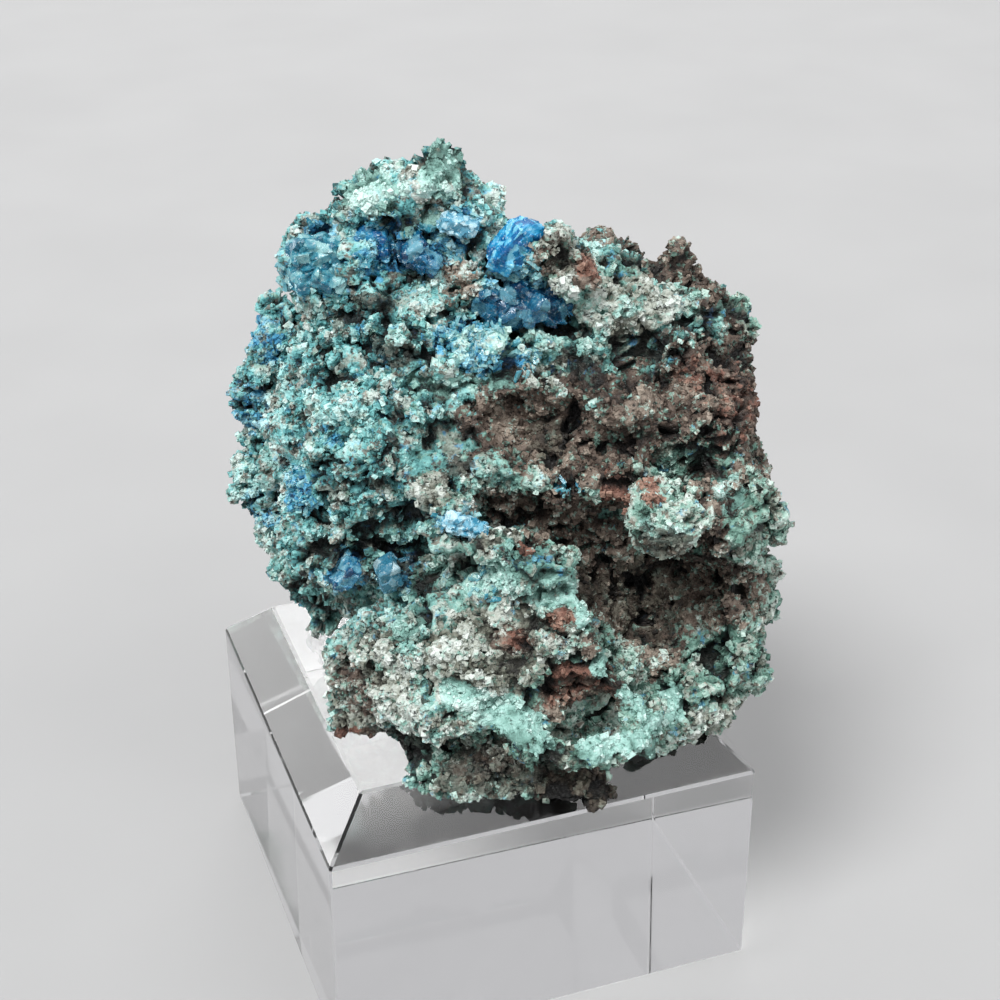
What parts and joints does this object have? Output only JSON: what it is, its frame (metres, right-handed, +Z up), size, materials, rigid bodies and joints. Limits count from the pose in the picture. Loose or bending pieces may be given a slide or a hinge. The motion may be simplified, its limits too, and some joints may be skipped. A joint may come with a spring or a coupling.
{
  "type": "chalcanthite specimen on a display block",
  "caption": "Rough lump of turquoise and brown matrix with blue chalcanthite crystals set in it, standing on a square clear acrylic block with bevelled top edges.",
  "frame": {"origin": "centre of the block's underside", "axes": "+Z up; X and Y along the block's sides; the picture looks towards +Y from above, and a little from the -X side"},
  "size_m": [0.0609, 0.0666, 0.0954],
  "materials": {
    "matrix": "rough, granular turquoise crust over brown rock",
    "chalcanthite": "glassy, half clear blue",
    "acrylic": "clear, polished"
  },
  "bodies": {
    "root": {"acrylic_block": "acrylic", "matrix_rock": "matrix", "azure_crest_crystals": "chalcanthite", "blue_hollow_crystals": "chalcanthite", "teal_left_crystals": "chalcanthite", "blue_shoulder_crystals": "chalcanthite", "dark_blue_peak_crystals": "chalcanthite", "pale_peak_crystal": "chalcanthite", "pale_ridge_crystal": "chalcanthite", "dark_blue_blade": "chalcanthite", "pale_blue_blade": "chalcanthite"}
  },
  "joints": []
}
